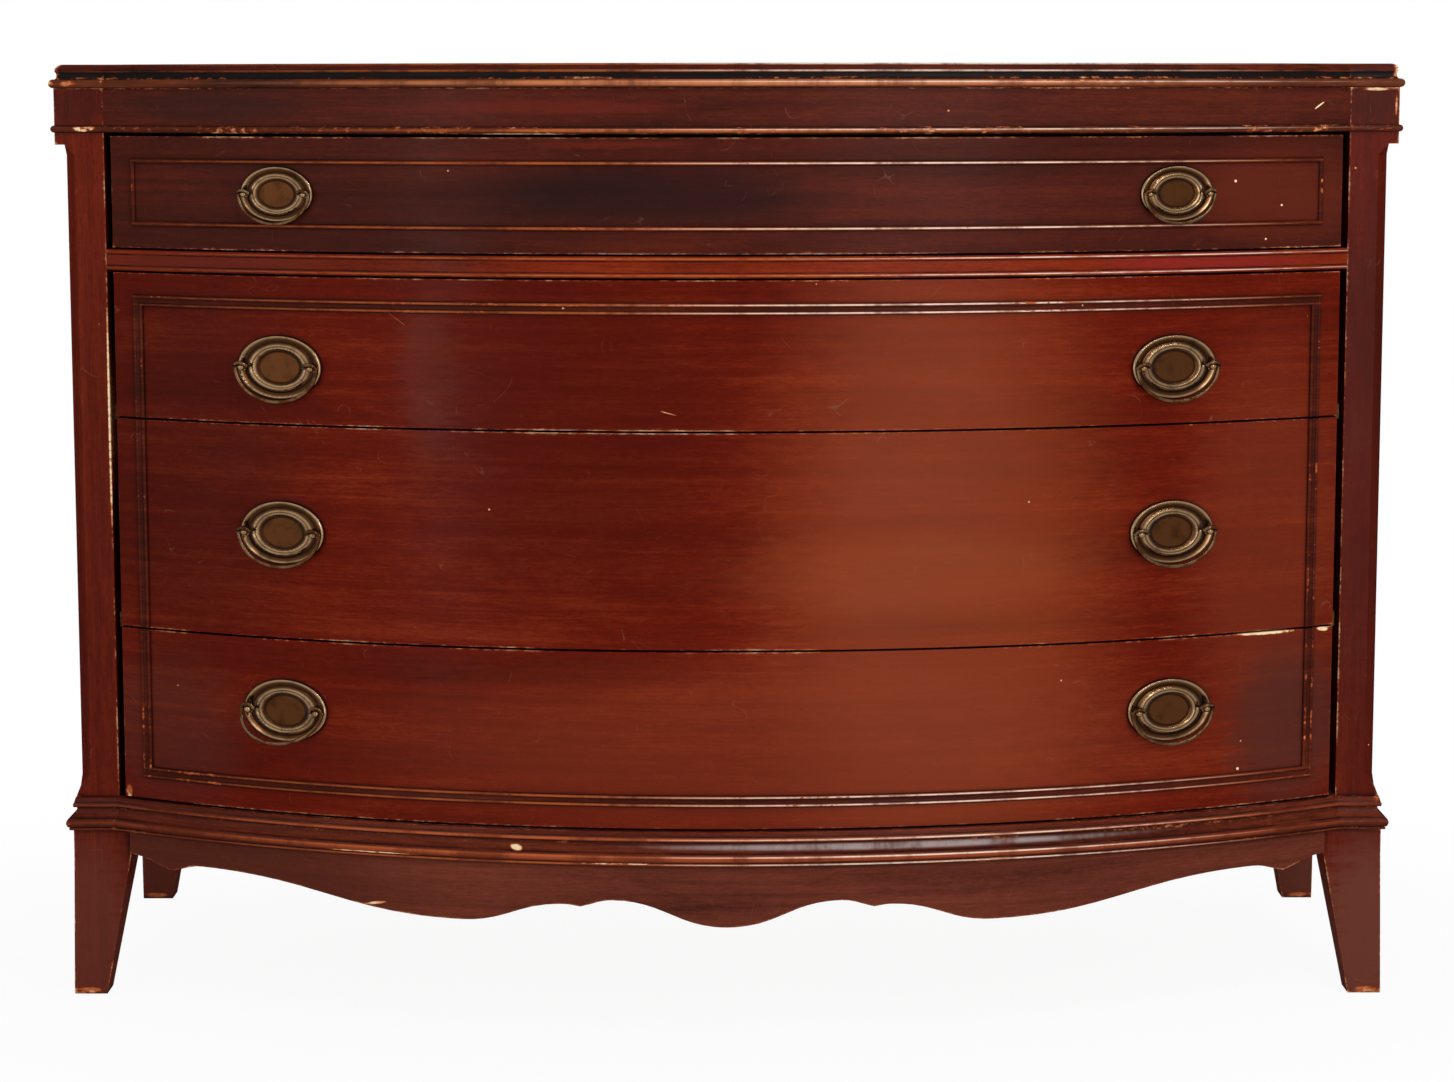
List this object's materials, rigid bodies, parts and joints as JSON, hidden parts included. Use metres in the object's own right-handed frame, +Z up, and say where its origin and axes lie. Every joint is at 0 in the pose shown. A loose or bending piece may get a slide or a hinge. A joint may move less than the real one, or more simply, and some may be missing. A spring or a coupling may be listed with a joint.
{
  "type": "bow front chest of drawers",
  "caption": "Bow-front mahogany chest with graduated sliding drawers, oval brass bail pulls, beaded mouldings, square tapering legs and a shaped apron.",
  "frame": {"origin": "middle of the footprint, on the floor", "axes": "+X to the right as one faces the front, +Y from the front to the back, +Z up"},
  "size_m": [1.244, 0.5839, 0.873],
  "materials": {
    "case_mahogany": "worn gloss lacquer",
    "drawer_mahogany": "worn gloss lacquer",
    "pale_wood": "bare",
    "antique_brass": "aged",
    "steel": "plain"
  },
  "bodies": {
    "case": {"top_board": "case_mahogany", "top_edge_moulding": "case_mahogany", "top_bead": "case_mahogany", "frieze_rail": "case_mahogany", "frieze_bead": "case_mahogany", "front_left_post": "case_mahogany", "front_right_post": "case_mahogany", "rear_left_post": "case_mahogany", "rear_right_post": "case_mahogany", "left_side_panel": "case_mahogany", "right_side_panel": "case_mahogany", "side_rails": "case_mahogany", "back_panel": "pale_wood", "back_rails": "pale_wood", "divider_rail": "case_mahogany", "drawer_blades": "pale_wood", "bottom_rail": "case_mahogany", "base_moulding": "case_mahogany", "front_apron": "case_mahogany", "glue_blocks": "pale_wood", "drawer_runners": "pale_wood", "drawer_stops": "pale_wood", "top_cleats": "pale_wood", "screws": "steel"},
    "drawer_1": {"drawer_1_front": "drawer_mahogany", "drawer_1_moulding": "case_mahogany", "drawer_1_sides": "pale_wood", "drawer_1_back": "pale_wood", "drawer_1_bottom": "pale_wood", "drawer_1_backplates": "antique_brass", "drawer_1_pull_posts": "antique_brass"},
    "drawer_1_left_bail": {"drawer_1_left_bail": "antique_brass"},
    "drawer_1_right_bail": {"drawer_1_right_bail": "antique_brass"},
    "drawer_2": {"drawer_2_front": "drawer_mahogany", "drawer_2_moulding": "case_mahogany", "drawer_2_sides": "pale_wood", "drawer_2_back": "pale_wood", "drawer_2_bottom": "pale_wood", "drawer_2_backplates": "antique_brass", "drawer_2_pull_posts": "antique_brass"},
    "drawer_2_left_bail": {"drawer_2_left_bail": "antique_brass"},
    "drawer_2_right_bail": {"drawer_2_right_bail": "antique_brass"},
    "drawer_3": {"drawer_3_front": "drawer_mahogany", "drawer_3_moulding": "case_mahogany", "drawer_3_sides": "pale_wood", "drawer_3_back": "pale_wood", "drawer_3_bottom": "pale_wood", "drawer_3_backplates": "antique_brass", "drawer_3_pull_posts": "antique_brass"},
    "drawer_3_left_bail": {"drawer_3_left_bail": "antique_brass"},
    "drawer_3_right_bail": {"drawer_3_right_bail": "antique_brass"},
    "drawer_4": {"drawer_4_front": "drawer_mahogany", "drawer_4_moulding": "case_mahogany", "drawer_4_sides": "pale_wood", "drawer_4_back": "pale_wood", "drawer_4_bottom": "pale_wood", "drawer_4_backplates": "antique_brass", "drawer_4_pull_posts": "antique_brass"},
    "drawer_4_left_bail": {"drawer_4_left_bail": "antique_brass"},
    "drawer_4_right_bail": {"drawer_4_right_bail": "antique_brass"}
  },
  "joints": [
    {"name": "drawer_1_slide", "type": "slide", "parent": "case", "child": "drawer_1", "axis": [0, -1, 0], "range_m": [0, 0.25]},
    {"name": "drawer_1_left_bail_hinge", "type": "hinge", "parent": "drawer_1", "child": "drawer_1_left_bail", "pos_m": [-0.40646, -0.21126, 0.7571], "axis": [-0.9339, 0.3574, 0], "range_deg": [0, 90]},
    {"name": "drawer_1_right_bail_hinge", "type": "hinge", "parent": "drawer_1", "child": "drawer_1_right_bail", "pos_m": [0.40646, -0.21126, 0.7571], "axis": [-0.9339, -0.3574, 0], "range_deg": [0, 90]},
    {"name": "drawer_2_slide", "type": "slide", "parent": "case", "child": "drawer_2", "axis": [0, -1, 0], "range_m": [0, 0.25]},
    {"name": "drawer_2_left_bail_hinge", "type": "hinge", "parent": "drawer_2", "child": "drawer_2_left_bail", "pos_m": [-0.40686, -0.21231, 0.6014], "axis": [-0.9339, 0.3574, 0], "range_deg": [0, 90]},
    {"name": "drawer_2_right_bail_hinge", "type": "hinge", "parent": "drawer_2", "child": "drawer_2_right_bail", "pos_m": [0.40686, -0.21231, 0.6014], "axis": [-0.9339, -0.3574, 0], "range_deg": [0, 90]},
    {"name": "drawer_3_slide", "type": "slide", "parent": "case", "child": "drawer_3", "axis": [0, -1, 0], "range_m": [0, 0.25]},
    {"name": "drawer_3_left_bail_hinge", "type": "hinge", "parent": "drawer_3", "child": "drawer_3_left_bail", "pos_m": [-0.40686, -0.21231, 0.451], "axis": [-0.9339, 0.3574, 0], "range_deg": [0, 90]},
    {"name": "drawer_3_right_bail_hinge", "type": "hinge", "parent": "drawer_3", "child": "drawer_3_right_bail", "pos_m": [0.40686, -0.21231, 0.451], "axis": [-0.9339, -0.3574, 0], "range_deg": [0, 90]},
    {"name": "drawer_4_slide", "type": "slide", "parent": "case", "child": "drawer_4", "axis": [0, -1, 0], "range_m": [0, 0.25]},
    {"name": "drawer_4_left_bail_hinge", "type": "hinge", "parent": "drawer_4", "child": "drawer_4_left_bail", "pos_m": [-0.40686, -0.21231, 0.28695], "axis": [-0.9339, 0.3574, 0], "range_deg": [-28, 62]},
    {"name": "drawer_4_right_bail_hinge", "type": "hinge", "parent": "drawer_4", "child": "drawer_4_right_bail", "pos_m": [0.40686, -0.21231, 0.28695], "axis": [-0.9339, -0.3574, 0], "range_deg": [0, 90]}
  ]
}
